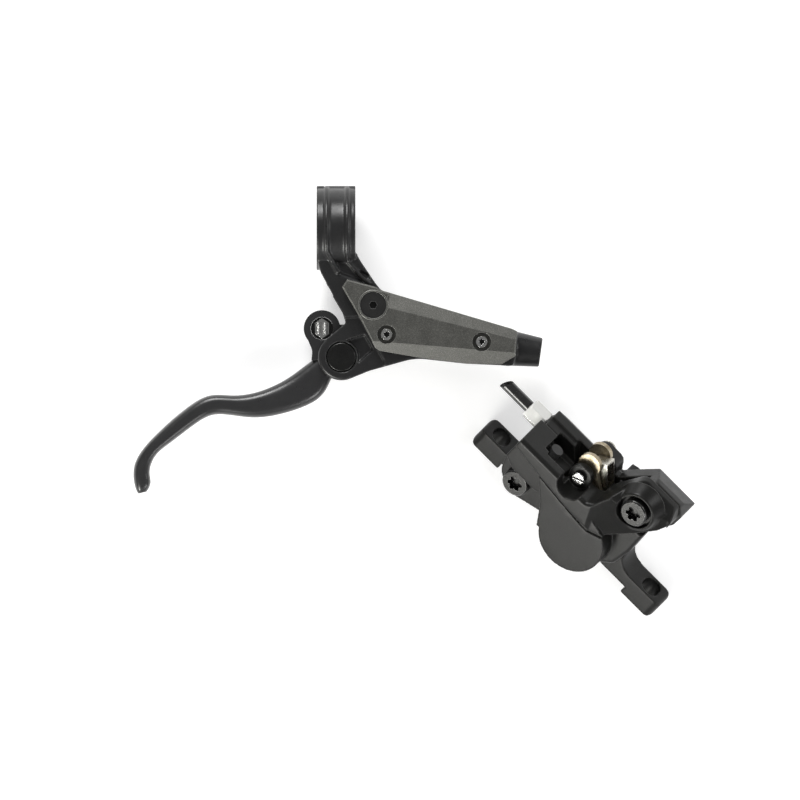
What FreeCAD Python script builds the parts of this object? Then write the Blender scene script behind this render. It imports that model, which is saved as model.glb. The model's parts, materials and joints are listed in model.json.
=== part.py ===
import FreeCAD, Part
import math
import os
from FreeCAD import Placement, Rotation, Vector

# Hydraulic disc brake for a bicycle: a lever unit with its master cylinder, and a post-mount caliper.
# Millimetres. The origin is the centre of the bar clamp, X lies along the bar, Y points away from the
# rider's fingers and Z up, out of the reservoir cover. The blade swings in the XY plane.

# Bar clamp
bar_r = 11.1
clamp_wall = 3.3
clamp_rib = 0.8
clamp_width = 13.6
clamp_gap = 0.8
rib_width = 1.4
rib_left_x = -3.3
rib_right_x = 3.9
hinge_y = 12.9
hinge_knuckle_r = 2.2
hinge_pin_r = 1.0
hinge_play = 0.04
clamp_lug_x, clamp_lug_y = 0.8, -17.6
clamp_lug_r = 4.4
rib_turn_y = -7.8
channel_depth = 1.2
bore_relief = 1.4
clamp_bolt_r = 2.5
clamp_head_r = 4.25
clamp_head_height = 4.0
clamp_lug_depth = 6.0

# Linkage of the lever, in plan
pivot_x, pivot_y = 1.9, -44.8
lobe_x, lobe_y = -4.9, -34.8
mech_z = -3.0
blade_half = 5.0
side_play = 0.3
hub_r = 7.3
lobe_r = 6.4
boss_r = 8.2
pin_r = 2.95
bush_r = 4.0
bush_length = 3.0
running_play = 0.05
cap_r = 5.05
cap_height = 1.5
barrel_r = 3.95
barrel_inset = 0.9
rod_r = 1.6
rod_tip_r = 1.9
slot_half = 2.1

# Master cylinder: its axis runs from the mouth to the hose end
cylinder_angle = -8.0
mouth_x, mouth_y = 9.016, -34.39
cylinder_length = 63.3
cylinder_r = 7.6
barrel_end_r = 6.4
boss_rim = 1.2
bore_r = 5.0
bore_depth = 46.0
port_r = 3.5
port_depth = 10.0
port_passage_r = 1.0
end_cone_length = 10.5
end_cone_r = 6.2
end_r = 5.1
piston_start = 4.0
piston_length = 23.0
piston_land = 2.6
piston_waist_r = 3.9
seal_width = 1.8
spring_wire_r = 0.45
spring_turns = 5.0

# Heights of the bracket and the reservoir
deck_z = 9.5
neck_z = 9.4
plate_top = 8.2
plate_low = -12.6
cover_height = 4.1
cover_chamfer = 0.4
reservoir_floor = 3.7
diaphragm_wall = 0.8
screw_head_r = 2.15
screw_well_r = 3.3
screw_shank_r = 1.4
plug_x, plug_y = 13.0, -26.6
plug_r = 4.6
plug_rim = 0.65
screw_places = ((17.7, -36.9), (51.0, -39.5))
fit = 0.05


def outline(corners, z=0.0):
    """Closed wire through the corners (x, y, radius), each turned with an arc of its radius."""
    count = len(corners)
    turns = []
    for index, corner in enumerate(corners):
        here = Vector(corner[0], corner[1], z)
        radius = corner[2] if len(corner) > 2 else 0.0
        if radius == 0.0:
            turns.append((here, None, here))
            continue
        before = Vector(corners[index - 1][0], corners[index - 1][1], z)
        after = Vector(corners[(index + 1) % count][0], corners[(index + 1) % count][1], z)
        back = (before - here).normalize()
        ahead = (after - here).normalize()
        half = back.getAngle(ahead) / 2
        reach = radius / math.tan(half)
        centre = here + (back + ahead).normalize() * (radius / math.sin(half))
        middle = centre + (here - centre).normalize() * radius
        turns.append((here + back * reach, middle, here + ahead * reach))
    edges = []
    for index, (start, middle, end) in enumerate(turns):
        if middle is not None:
            edges.append(Part.Arc(start, middle, end).toShape())
        following = turns[(index + 1) % count][0]
        if end.distanceToPoint(following) > 1e-6:
            edges.append(Part.makeLine(end, following))
    return Part.Wire(edges)


def prism(corners, low, high):
    return Part.Face(outline(corners, low)).extrude(Vector(0, 0, high - low))


def rod(base, direction, radius, length):
    return Part.makeCylinder(radius, length, base, direction)


def upright(x, y, radius, low, high):
    return rod(Vector(x, y, low), Vector(0, 0, 1), radius, high - low)


def tube(base, direction, outer, inner, length):
    return rod(base, direction, outer, length).cut(rod(base, direction, inner, length))


def polygon_prism(x, y, across_flats, sides, low, high, turn=0.0):
    radius = across_flats / 2 / math.cos(math.pi / sides)
    corners = []
    for index in range(sides):
        angle = math.radians(turn) + 2 * math.pi * index / sides
        corners.append((x + radius * math.cos(angle), y + radius * math.sin(angle)))
    return prism(corners, low, high)


def lobed_recess(x, y, radius, low, high):
    """Six-lobe socket: a round core with six round lobes."""
    core = upright(x, y, radius * 0.72, low, high)
    for index in range(6):
        angle = math.radians(60 * index + 30)
        lobe = upright(x + radius * 0.72 * math.cos(angle), y + radius * 0.72 * math.sin(angle),
                       radius * 0.28, low, high)
        core = core.fuse(lobe)
    return core


def joined(shapes):
    first = shapes[0]
    return first.fuse(shapes[1:]).removeSplitter() if len(shapes) > 1 else first


def without(shape, cutters):
    return shape.cut(cutters)


def edges_at(shape, test):
    return [edge for edge in shape.Edges if test(edge)]


def level_edges(shape, z):
    """Edges that lie wholly in the plane at height z."""
    return edges_at(shape, lambda edge: abs(edge.BoundBox.ZMin - z) < 1e-4 and abs(edge.BoundBox.ZMax - z) < 1e-4)


def bevel(start, end, side, reach, top, drop):
    """Wedge along start-end that slopes down by drop over reach, towards the given side (1 left, -1 right)."""
    along = Vector(end[0] - start[0], end[1] - start[1], 0)
    across = Vector(-along.y, along.x, 0).normalize() * side
    base = Vector(start[0], start[1], 0)
    over = 2.0
    corners = [base + Vector(0, 0, top), base + across * reach + Vector(0, 0, top - drop),
               base + across * (reach + over) + Vector(0, 0, top - drop * (reach + over) / reach),
               base + across * (reach + over) + Vector(0, 0, top + over), base + Vector(0, 0, top + over)]
    return Part.Face(Part.makePolygon(corners + corners[:1])).extrude(along)


nodes = {}

# Values that follow from the driving ones
clamp_r = bar_r + clamp_wall
rib_r = clamp_r + clamp_rib
half_width = clamp_width / 2
tall = 1.4 * clamp_r
axis = Vector(math.cos(math.radians(cylinder_angle)), math.sin(math.radians(cylinder_angle)), 0)
mouth = Vector(mouth_x, mouth_y, mech_z)
hose_end = mouth + axis * cylinder_length
pivot = Vector(pivot_x, pivot_y, mech_z)
lobe = Vector(lobe_x, lobe_y, mech_z)
blade_low = mech_z - blade_half
blade_top = mech_z + blade_half
gap_low = blade_low - side_play
gap_top = blade_top + side_play
cover_top = deck_z + cover_height


def along_bore(distance):
    return mouth + axis * distance


def turned_about_bar(section):
    """Ring about the bar from (x, radius) pairs."""
    points = [Vector(x, 0, radius) for x, radius in section]
    face = Part.Face(Part.makePolygon(points + points[:1]))
    return face.revolve(Vector(0, 0, 0), Vector(1, 0, 0), 360)


# Bar clamp: a plain ring with two raised ribs beside a channel, split at the bar's level
def clamp_ring():
    return turned_about_bar([(-half_width, bar_r), (-half_width, clamp_r), (half_width, clamp_r), (half_width, bar_r)])


def clamp_ribs():
    foot = rib_width / 2 + 0.3
    crest = rib_width / 2 - 0.2
    ribs = []
    for rib_x in (rib_left_x, rib_right_x):
        ribs.append(turned_about_bar([(rib_x - foot, clamp_r - 1), (rib_x - foot, clamp_r), (rib_x - crest, rib_r),
                                      (rib_x + crest, rib_r), (rib_x + foot, clamp_r), (rib_x + foot, clamp_r - 1)]))
    return ribs


def half_space(low, high):
    size = 4 * clamp_r
    return Part.makeBox(size, size, high - low, Vector(-size / 2, -size / 2, low))


def knuckle(start, end):
    return rod(Vector(start, hinge_y, 0), Vector(1, 0, 0), hinge_knuckle_r, end - start)


hinge_hole = rod(Vector(-half_width, hinge_y, 0), Vector(1, 0, 0), hinge_pin_r, clamp_width)
bar_hole = rod(Vector(-2 * half_width, 0, 0), Vector(1, 0, 0), bar_r, 4 * half_width)
ring_shape = clamp_ring()
rib_rings = clamp_ribs()
hinge_room = rod(Vector(-half_width, hinge_y, 0), Vector(1, 0, 0), hinge_knuckle_r + 0.15, clamp_width)

# Lower band of the clamp, with its outer knuckles and the lug for the bolt
lower_space = half_space(-tall, -clamp_gap / 2)
band_ring = joined([ring_shape] + rib_rings).common(lower_space).cut(hinge_room)
lug_left, lug_right = clamp_lug_x - clamp_lug_r, clamp_lug_x + clamp_lug_r
lug_end = clamp_lug_y - clamp_lug_r
band_arm = prism([(lug_left, -bar_r), (lug_left, lug_end, clamp_lug_r - 0.1), (lug_right, lug_end, clamp_lug_r - 0.1),
                  (lug_right, -bar_r)], -clamp_gap / 2 - clamp_lug_depth, -clamp_gap / 2)
outer_knuckles = [knuckle(-half_width, rib_left_x - rib_width / 2 - 0.1),
                  knuckle(rib_right_x + rib_width / 2 + 0.1, half_width)]
outer_webs = []
for start, end in ((-half_width, rib_left_x - rib_width / 2 - 0.1), (rib_right_x + rib_width / 2 + 0.1, half_width)):
    outer_webs.append(Part.makeBox(end - start, 2.2, 4.4, Vector(start, hinge_y - 1.5, -4.4)))
bolt_seat = -clamp_gap / 2 - 3.0
clamp_hole = upright(clamp_lug_x, clamp_lug_y, clamp_bolt_r + 0.25, -tall, -clamp_gap / 2)
clamp_head_well = upright(clamp_lug_x, clamp_lug_y, clamp_head_r + 0.3, -tall, bolt_seat)
band = joined([band_ring, band_arm] + outer_knuckles + outer_webs)
nodes["clamp_band"] = without(band, [bar_hole, hinge_hole, clamp_hole, clamp_head_well])
nodes["clamp_hinge_pin"] = rod(Vector(-half_width + 0.2, hinge_y, 0), Vector(1, 0, 0), hinge_pin_r - hinge_play,
                               clamp_width - 0.4)
bolt_tip = 6.6
clamp_bolt = upright(clamp_lug_x, clamp_lug_y, clamp_bolt_r, bolt_seat, bolt_tip).fuse(
    upright(clamp_lug_x, clamp_lug_y, clamp_head_r, bolt_seat - clamp_head_height, bolt_seat))
nodes["clamp_bolt"] = clamp_bolt.cut(
    polygon_prism(clamp_lug_x, clamp_lug_y, 4.0, 6, bolt_seat - clamp_head_height, bolt_seat - 1.2))

# Bracket: clamp half, neck, deck, cylinder and clevis
neck_plan = [(-6.8, -6.0), (-5.95, -13.0, 3.0), (-5.25, -15.4, 3.0), (2.3, -29.4, 2.0), (3.4, -32.9),
             (12.0, -36.0), (22.0, -27.0), (15.5, -21.0), (14.0, -19.2, 3.0), (8.6, -11.2, 3.0), (7.6, -9.4, 3.0),
             (6.8, -5.5)]
deck_plan = [(2.1, -20.3), (3.4, -32.9), (-3.7, -38.8), (pivot_x, pivot_y), (5.1, -52.35), (11.6, -49.7, 6.0),
             (27.7, -45.2, 20.0), (45.5, -47.2, 20.0), (62.0, -47.9, 1.0), (63.0, -44.0), (63.4, -35.8, 1.0),
             (15.8, -21.4, 1.0), (13.8, -20.2), (4.0, -17.8)]
plate_plan = [(3.4, -32.9), (-3.7, -38.8), (pivot_x, pivot_y), (5.1, -52.35), (11.6, -49.7, 6.0),
              (27.7, -45.2), (24.0, -34.0), (14.0, -30.0)]
web_plan = [(9.6, -28.6), (9.6, -50.5), (11.6, -49.7, 6.0), (27.7, -45.2), (24.0, -34.0), (14.0, -30.0)]
left_rib_plan = [(-4.0, rib_turn_y), (-2.6, rib_turn_y), (1.6, -15.1, 0.5), (0.4, -15.8, 0.5)]
right_rib_plan = [(3.2, rib_turn_y), (4.6, rib_turn_y), (5.0, -11.2), (8.8, -15.8), (12.4, -19.0), (11.2, -19.2),
                  (7.8, -16.4), (3.8, -11.6)]
channel_plan = [(-2.8, -8.0), (3.6, -8.0), (4.0, -11.6), (7.9, -16.4), (10.4, -18.6), (1.0, -15.2)]
pocket_plan = [(2.45, -39.2), (10.0, -36.9, 0.6), (13.1, -42.3, 0.6), (7.0, -47.5)]
reservoir_plan = [(22.0, -27.4, 2.0), (46.0, -34.2, 2.0), (46.0, -43.4, 2.0), (22.0, -40.4, 2.0)]

upper_space = half_space(clamp_gap / 2, tall)
behind_turn = Part.makeBox(4 * half_width, 2 * tall, tall, Vector(-2 * half_width, rib_turn_y, clamp_gap / 2))
upper_ring = joined([ring_shape.common(upper_space)] + [rib.common(behind_turn) for rib in rib_rings]).cut(hinge_room)
middle_start = rib_left_x - rib_width / 2
middle_end = rib_right_x + rib_width / 2
middle_web = Part.makeBox(middle_end - middle_start, 2.2, 4.0, Vector(middle_start, hinge_y - 1.5, 0.2))
channel_floor = neck_z - channel_depth
ramp = bevel((1.0, -16.2), (10.6, -20.2), 1, 2.4, neck_z, channel_depth)
ramp = ramp.common(prism(neck_plan, channel_floor, neck_z + 1))
neck = prism(neck_plan, clamp_gap / 2, neck_z).cut([prism(channel_plan, channel_floor, neck_z + 1), ramp])
neck_low = prism([(-1.8, -22.6, 1.0), (2.3, -29.4), (3.4, -32.9), (12.0, -36.0), (22.0, -27.0), (15.5, -21.6)],
                 mech_z - 5.0, neck_z)
deck = prism(deck_plan, mech_z, deck_z)
boss_top = upright(pivot_x, pivot_y, boss_r, gap_top, plate_top)
boss_top = boss_top.makeFillet(boss_rim, level_edges(boss_top, plate_top))
boss_low = upright(pivot_x, pivot_y, boss_r, plate_low, gap_low)
low_plate = prism(plate_plan, plate_low, gap_low)
web = prism(web_plan, plate_low, deck_z)
cylinder = Part.makeCone(cylinder_r, barrel_end_r, cylinder_length - end_cone_length, mouth, axis)
end_cone = Part.makeCone(end_cone_r, end_r, end_cone_length, along_bore(cylinder_length - end_cone_length), axis)
rib_skin = rod(Vector(-half_width, 0, 0), Vector(1, 0, 0), rib_r, 3 * half_width).fuse(
    half_space(0, neck_z + clamp_rib))
left_rib = prism(left_rib_plan, channel_floor, tall).common(rib_skin)
right_rib = prism(right_rib_plan, channel_floor, tall).common(rib_skin)

bracket = joined([upper_ring, knuckle(middle_start, middle_end), middle_web, neck, neck_low, deck, boss_top,
                  boss_low, low_plate, web, cylinder, end_cone, left_rib, right_rib])

# Room for the lug of the lower band, under the tip of the deck
lug_room = 0.6
band_room = Part.makeBox(2 * (clamp_lug_r + lug_room), clamp_lug_r + 6, 12, Vector(
    lug_left - lug_room, lug_end - lug_room, clamp_gap / 2 - 12))
# Beside the clamp the neck stands clear of the bar
bar_relief = rod(Vector(half_width, 0, 0), Vector(1, 0, 0), bar_r + bore_relief, half_width)
# The lever's room: a slot for the hub and the sweep of the lobe, behind the cylinder's mouth
sweep_r = (lobe - pivot).Length + lobe_r + 0.6
hub_room = upright(pivot_x, pivot_y, hub_r + 0.6, gap_low, gap_top)
sweep_room = upright(pivot_x, pivot_y, sweep_r, gap_low, gap_top)
behind_mouth = Part.makeBox(60, 80, gap_top - gap_low, Vector(-60, -40, -(gap_top - gap_low) / 2))
behind_mouth.Placement = Placement(mouth, Rotation(Vector(0, 0, 1), cylinder_angle))
sweep_room = sweep_room.common(behind_mouth)
# The plate round the pivot is lower than the deck
plate_step = prism([(3.4, -31.0), (-12.0, -38.0), (-12.0, -60.0), (16.9, -60.0), (16.9, -46.3), (8.4, -30.6)],
                   plate_top, deck_z + 5)
plate_pocket = prism(pocket_plan, plate_top - 1.6, plate_top + 1).cut(
    upright(pivot_x, pivot_y, cap_r + 0.75, plate_top - 2, plate_top + 2))
pivot_hole = upright(pivot_x, pivot_y, pin_r, plate_low - 1, plate_top + 1)
cap_well = upright(pivot_x, pivot_y, cap_r + 0.25, plate_top - cap_height + 0.4, plate_top + 1)
bore = rod(mouth, axis, bore_r, bore_depth)
mouth_well = rod(along_bore(-0.1), axis, bore_r + 0.8, 1.5)
passage = rod(along_bore(bore_depth - 0.5), axis, port_passage_r, cylinder_length - bore_depth)
port = rod(along_bore(cylinder_length - port_depth), axis, port_r, port_depth + 1)
clip_groove = rod(along_bore(2.6), axis, bore_r + 0.6, 0.9)
reservoir = prism(reservoir_plan, reservoir_floor, deck_z + 1)
ledge = prism([(20.9, -26.2, 2.5), (47.1, -33.6, 2.5), (47.1, -44.6, 2.5), (20.9, -41.4, 2.5)],
              deck_z - diaphragm_wall, deck_z + 1)
feed_hole = rod(Vector(*(along_bore(piston_start + piston_length + 1.4))[0:2], mech_z), Vector(0, 0, 1), 0.6, 10)
refill_hole = rod(Vector(*(along_bore(piston_start + 15.5))[0:2], mech_z), Vector(0, 0, 1), 0.9, 10)
bleed_hole = upright(plug_x, plug_y, 2.6, reservoir_floor + 1.4, deck_z + 1)
bleed_link = rod(Vector(plug_x, plug_y, reservoir_floor + 2.6), Vector(10, -4, 0), 1.1, 11.5)
screw_holes = [upright(x, y, screw_shank_r, 4.4, deck_z + 1) for x, y in screw_places]
thread_hole = upright(clamp_lug_x, clamp_lug_y, clamp_bolt_r, -1, bolt_tip + 0.6)
bracket = without(bracket, [band_room, bar_relief, plate_step, hub_room, sweep_room, plate_pocket, pivot_hole, cap_well, bore,
                            mouth_well, passage, port, clip_groove, reservoir, ledge, feed_hole, refill_hole,
                            bleed_hole, bleed_link, thread_hole, bar_hole, hinge_hole] + screw_holes)
nodes["lever_bracket"] = bracket

# Reservoir cover: three facets along its length, over an air space above the diaphragm
cover_plan = [(2.1, -20.3), (3.9, -17.6), (14.0, -20.3), (15.8, -21.4), (61.6, -34.9), (63.4, -35.8), (62.8, -44.5),
              (58.0, -47.3), (46.4, -47.2), (28.5, -44.9), (15.2, -42.6), (13.8, -41.6), (8.3, -31.0)]
cover = prism(cover_plan, deck_z, cover_top)
cover = cover.makeChamfer(cover_chamfer, level_edges(cover, cover_top))
upper_ridge = ((17.2, -27.3), (63.4, -38.8))
lower_ridge = ((9.0, -38.9), (63.4, -43.4))
cover = without(cover, [bevel(upper_ridge[0], upper_ridge[1], 1, 6.0, cover_top, 1.9),
                        bevel(lower_ridge[0], lower_ridge[1], -1, 3.4, cover_top, 2.0)])
plug_boss = upright(plug_x, plug_y, plug_r + plug_rim, deck_z, cover_top + 0.25)
air_space = prism([(24.0, -29.8, 2.0), (44.0, -35.4, 2.0), (44.0, -41.4, 2.0), (24.0, -39.0, 2.0)],
                  deck_z - 1, deck_z + 1.6)
plug_well = upright(plug_x, plug_y, plug_r + fit, deck_z + 1.2, cover_top + 1)
plug_bore = upright(plug_x, plug_y, 3.0, deck_z - 1, deck_z + 2)
screw_seat = cover_top - 2.6
screw_wells = [upright(x, y, screw_well_r, screw_seat, cover_top + 1) for x, y in screw_places]
screw_bores = [upright(x, y, screw_shank_r + 0.2, deck_z - 1, cover_top) for x, y in screw_places]
nodes["reservoir_cover"] = without(cover.fuse(plug_boss).removeSplitter(),
                                   [air_space, plug_well, plug_bore] + screw_wells + screw_bores)

diaphragm = prism([(21.0, -26.3, 2.4), (47.0, -33.7, 2.4), (47.0, -44.5, 2.4), (21.0, -41.3, 2.4)],
                  deck_z - diaphragm_wall, deck_z)
dish_plan = [(23.0, -28.6, 2.0), (45.0, -34.9, 2.0), (45.0, -42.4, 2.0), (23.0, -39.6, 2.0)]
dish_inner = [(23.8, -29.3, 1.4), (44.2, -35.2, 1.4), (44.2, -41.6, 1.4), (23.8, -38.9, 1.4)]
dish = prism(dish_plan, deck_z - 3.4, deck_z - 0.4).cut(prism(dish_inner, deck_z - 2.6, deck_z + 1))
nodes["reservoir_diaphragm"] = joined([diaphragm, dish]).cut(prism(dish_inner, deck_z - 2.6, deck_z + 1))


def cover_screw(x, y):
    head = upright(x, y, screw_head_r, screw_seat, screw_seat + 1.7)
    head = head.makeChamfer(0.25, level_edges(head, screw_seat + 1.7))
    shank = upright(x, y, screw_shank_r, 4.4, screw_seat)
    return head.fuse(shank).cut(lobed_recess(x, y, 1.15, screw_seat + 0.5, screw_seat + 2))


nodes["cover_screws"] = Part.makeCompound([cover_screw(x, y) for x, y in screw_places])

plug = upright(plug_x, plug_y, plug_r, deck_z + 1.2, cover_top).fuse(
    upright(plug_x, plug_y, 2.6, deck_z - 2.4, deck_z + 1.2))
nodes["bleed_plug"] = plug.cut(polygon_prism(plug_x, plug_y, 2.5, 6, cover_top - 1.6, cover_top + 1))
nodes["bleed_plug_o_ring"] = tube(Vector(plug_x, plug_y, deck_z), Vector(0, 0, 1), 3.0, 2.6, 1.2)

# Blade: sections from the hub to the tip, as (upper edge, lower edge, height) in plan
blade_sections = [((-3.2, -41.5), (3.6, -50.4), 10.0), ((-10.6, -47.7), (-3.4, -56.0), 10.0),
                  ((-15.6, -51.4), (-10.2, -61.7), 10.2), ((-22.5, -55.2), (-19.9, -64.9), 10.6),
                  ((-29.4, -57.5), (-28.7, -66.0), 11.0), ((-36.5, -58.2), (-36.5, -65.2), 11.2),
                  ((-44.3, -58.3), (-43.1, -65.1), 11.2), ((-52.2, -62.6), (-49.2, -68.2), 11.2),
                  ((-62.2, -71.2), (-58.4, -75.1), 11.0), ((-69.3, -79.6), (-64.1, -80.9), 10.6),
                  ((-70.9, -84.7), (-65.2, -85.1), 10.0), ((-70.2, -90.6), (-64.9, -88.6), 9.0),
                  ((-69.0, -92.6), (-66.3, -91.9), 6.0)]
section_points = 24
section_power = 0.62


def blade_section(upper, lower, height):
    """Rounded rectangle between the two edges, upright, as one closed curve."""
    middle = Vector((upper[0] + lower[0]) / 2, (upper[1] + lower[1]) / 2, mech_z)
    reach = Vector(lower[0] - upper[0], lower[1] - upper[1], 0) * 0.5
    points = []
    for index in range(section_points):
        angle = 2 * math.pi * index / section_points
        across = math.copysign(abs(math.cos(angle)) ** section_power, math.cos(angle))
        rise = math.copysign(abs(math.sin(angle)) ** section_power, math.sin(angle))
        points.append(middle + reach * across + Vector(0, 0, height / 2 * rise))
    curve = Part.BSplineCurve()
    curve.interpolate(Points=points, PeriodicFlag=True)
    return Part.Wire([curve.toShape()])


blade_grip = Part.makeLoft([blade_section(*section) for section in blade_sections], True, False)
hub = upright(pivot_x, pivot_y, hub_r, blade_low, blade_top)
lobe_arm = prism([(lobe_x - lobe_r + 0.2, lobe_y - 1.0), (-8.3, -42.5, 4.0), (-8.6, -46.0), (pivot_x, pivot_y),
                  (8.0, -41.6), (lobe_x + lobe_r - 0.3, lobe_y + 1.6), (lobe_x, lobe_y)], blade_low, blade_top)
lobe_disc = upright(lobe_x, lobe_y, lobe_r, blade_low, blade_top)
fork_slot = Part.makeBox(40, 22, 2 * slot_half, Vector(-22, -38.7, mech_z - slot_half))
barrel_hole = upright(lobe_x, lobe_y, barrel_r + running_play, blade_low - 1, blade_top + 1)
bush_hole = upright(pivot_x, pivot_y, bush_r, blade_low - 1, blade_top + 1)
blade = joined([blade_grip, hub, lobe_arm, lobe_disc])
nodes["lever_blade"] = without(blade, [fork_slot, barrel_hole, bush_hole])

upper_bush = tube(Vector(pivot_x, pivot_y, blade_top - bush_length), Vector(0, 0, 1), bush_r,
                  pin_r + running_play, bush_length + side_play - 0.1)
lower_bush = tube(Vector(pivot_x, pivot_y, blade_low - side_play + 0.1), Vector(0, 0, 1), bush_r,
                  pin_r + running_play, bush_length + side_play - 0.1)
nodes["pivot_bushes"] = Part.makeCompound([upper_bush, lower_bush])

clip_z = plate_low - 0.9
cap_bottom = plate_top - cap_height + 0.4
pin = upright(pivot_x, pivot_y, pin_r, plate_low - 1.8, cap_bottom).fuse(
    upright(pivot_x, pivot_y, cap_r, cap_bottom, cap_bottom + cap_height))
pin = pin.makeFillet(0.5, level_edges(pin, cap_bottom + cap_height))
clip_slot = tube(Vector(pivot_x, pivot_y, clip_z), Vector(0, 0, 1), pin_r + 1, pin_r - 0.6, 0.9)
nodes["lever_pivot_pin"] = pin.cut(clip_slot)
clip = tube(Vector(pivot_x, pivot_y, clip_z), Vector(0, 0, 1), pin_r + 1.6, pin_r - 0.6, 0.9)
clip_mouth = Part.makeBox(2.4, 6, 2, Vector(pivot_x - 1.2, pivot_y - 6, clip_z - 0.5))
nodes["pivot_retaining_clip"] = clip.cut(clip_mouth)

# Cross barrel and push rod; the rod's tip sits in the piston's cup
cup_distance = piston_start + 1.1
rod_tip = along_bore(cup_distance)
rod_line = (rod_tip - lobe).normalize()
rod_back = lobe - rod_line * (barrel_r - 0.4)
barrel = upright(lobe_x, lobe_y, barrel_r, blade_low + barrel_inset, blade_top - barrel_inset)
barrel_face = prism([(lobe_x - 2.4, lobe_y + 1.9), (lobe_x, lobe_y + 3.6), (lobe_x + 2.4, lobe_y + 1.9),
                     (lobe_x + 2.4, lobe_y - 1.9), (lobe_x, lobe_y - 3.6), (lobe_x - 2.4, lobe_y - 1.9)],
                    blade_top - barrel_inset, blade_top - 0.2)
rod_hole = rod(rod_back, rod_line, rod_r, 3 * barrel_r)
nodes["push_rod_barrel"] = without(barrel.fuse(barrel_face), [rod_hole])
push_rod = rod(rod_back, rod_line, rod_r, (rod_tip - rod_back).Length).fuse(Part.makeSphere(rod_tip_r, rod_tip))
nodes["push_rod"] = push_rod.removeSplitter()

# Master piston: two lands, two seal grooves, a waist, and a cup for the rod
piston_r = bore_r - running_play
piston_end = piston_start + piston_length
piston = rod(along_bore(piston_start), axis, piston_waist_r, piston_length)
for start in (piston_start, piston_start + piston_land + seal_width,
              piston_end - 2 * piston_land - seal_width, piston_end - piston_land):
    piston = piston.fuse(rod(along_bore(start), axis, piston_r, piston_land))
cup = [rod(along_bore(piston_start - 1), axis, rod_tip_r + 0.35, cup_distance - piston_start + 1),
       Part.makeSphere(rod_tip_r + 0.35, rod_tip)]
spring_nose_r = 2.6
piston = piston.fuse(rod(along_bore(piston_end), axis, spring_nose_r, 1.5))
nodes["master_piston"] = without(piston.removeSplitter(), cup)
nodes["secondary_seal"] = tube(along_bore(piston_start + piston_land), axis, piston_r, piston_waist_r, seal_width)
nodes["primary_seal"] = tube(along_bore(piston_end - piston_land - seal_width), axis, piston_r, piston_waist_r,
                             seal_width)
spring_length = bore_depth - piston_end
spring_r = bore_r - 1.3
helix = Part.makeHelix((spring_length - 2 * spring_wire_r) / spring_turns, spring_length - 2 * spring_wire_r, spring_r)
wire_circle = Part.Wire([Part.makeCircle(spring_wire_r, Vector(spring_r, 0, 0), Vector(0, 1, 0))])
spring = Part.Wire(helix.Edges).makePipeShell([wire_circle], True, True)
spring.Placement = Placement(along_bore(piston_end + spring_wire_r), Rotation(Vector(0, 0, 1), axis))
nodes["return_spring"] = spring
nodes["piston_stop_clip"] = tube(along_bore(2.6), axis, bore_r + 0.6, rod_tip_r + 1.3, 0.9)
boot = tube(along_bore(0.2), axis, bore_r + 0.8, rod_r + 1.2, 1.2)
nodes["piston_dust_boot"] = boot

# Caliper. It is modelled upright in a frame of its own: U along the line of the two mounting bolts, R away
# from the posts and N along the wheel's axle towards the bolts' heads, with N = 0 in the plane of the disc.
# It is then tilted and turned as it lies beside the lever unit.
mount_spacing = 74.0
tab_top = -15.8
tab_thickness = 7.5
neck_thickness = 4.6
tab_width = 10.5
tab_middle = -12.0
tab_end = 6.9
slot_width = 6.8
slot_length = 8.0
caliper_depth = 17.0
piston_u, piston_v = 5.4, -4.0
piston_radius = 10.0
boss_radius = 12.6
bore_wall = 2.5
transfer_u, transfer_v = -26.4, 1.0
seal_depth = 1.35
seal_start = 8.0
seal_height = 2.2
axle_u, axle_v = -7.8, 13.0
axle_radius = 1.5
axle_play = 0.1
axle_head_r = 2.4
axle_boss_r = 4.9
disc_radius = 80.0
pad_radius = 70.5
disc_half = 0.9
disc_gap = 0.35
lining_thickness = 2.0
plate_thickness = 1.8
slot_clearance = 1.2
rotor_slot_half = 1.7
pad_room_half = 6.0
body_bolt_r = 3.0
body_bolt_play = 0.1
body_head_r = 5.0
bolt_one = (-22.3, -11.8)
bolt_one_seat = 2.8
bolt_one_head = 3.6
bolt_two = (14.5, 21.5)
bolt_two_seat = 9.0
bolt_two_head = 4.0
body_top = 13.0
body_left = -31.6
mount_left = -29.4
bar_rounding = 1.4
skirt_height = 8.8
wing_depth = 12.0
back_boss_depth = 12.6
tab_rounding = 2.6
recess_front = 12.2
shelf_depth = 0.9
hose_v, hose_n = 8.0, -5.2
hose_r = 2.2
hose_bore_r = 1.05
hose_thread_r = 3.2
nut_flats = 7.2
collar_reach = 0.4
port_reach = 6.0
nut_length = 7.8
hose_cut_u = -49.0
nipple_u, nipple_n = -20.1, 6.2
nipple_r = 2.3
caliper_tilt = 39.0
caliper_turn = -45.0
caliper_place = (87.6, -95.6, 12.9)

pistons = Vector(piston_u, piston_v, 0)
pad_axle_place = Vector(axle_u, axle_v, 0)
pad_out = (pad_axle_place - pistons).normalize()
pad_turn = math.degrees(math.atan2(pad_out.y, pad_out.x)) - 90
disc_centre = pistons - pad_out * pad_radius
lining_start = disc_half + disc_gap
plate_start = lining_start + lining_thickness
piston_face = plate_start + plate_thickness
cavity_end = caliper_depth - bore_wall
caliper = {}


def standing(corners, start, end):
    """Prism along U from corners in the R and N directions."""
    points = [Vector(start, v, n) for v, n in corners]
    return Part.Face(Part.makePolygon(points + points[:1])).extrude(Vector(end - start, 0, 0))


def along_r(corners, low, high):
    """Prism along R from corners in the U and N directions."""
    shape = prism(corners, -high, -low)
    shape.rotate(Vector(0, 0, 0), Vector(1, 0, 0), 90)
    return shape


def in_pad_frame(shape):
    """Moves a shape drawn with the piston at the origin and the pad's outer end along Y to its place."""
    moved = shape.copy()
    moved.Placement = Placement(pistons, Rotation(Vector(0, 0, 1), pad_turn))
    return moved


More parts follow.
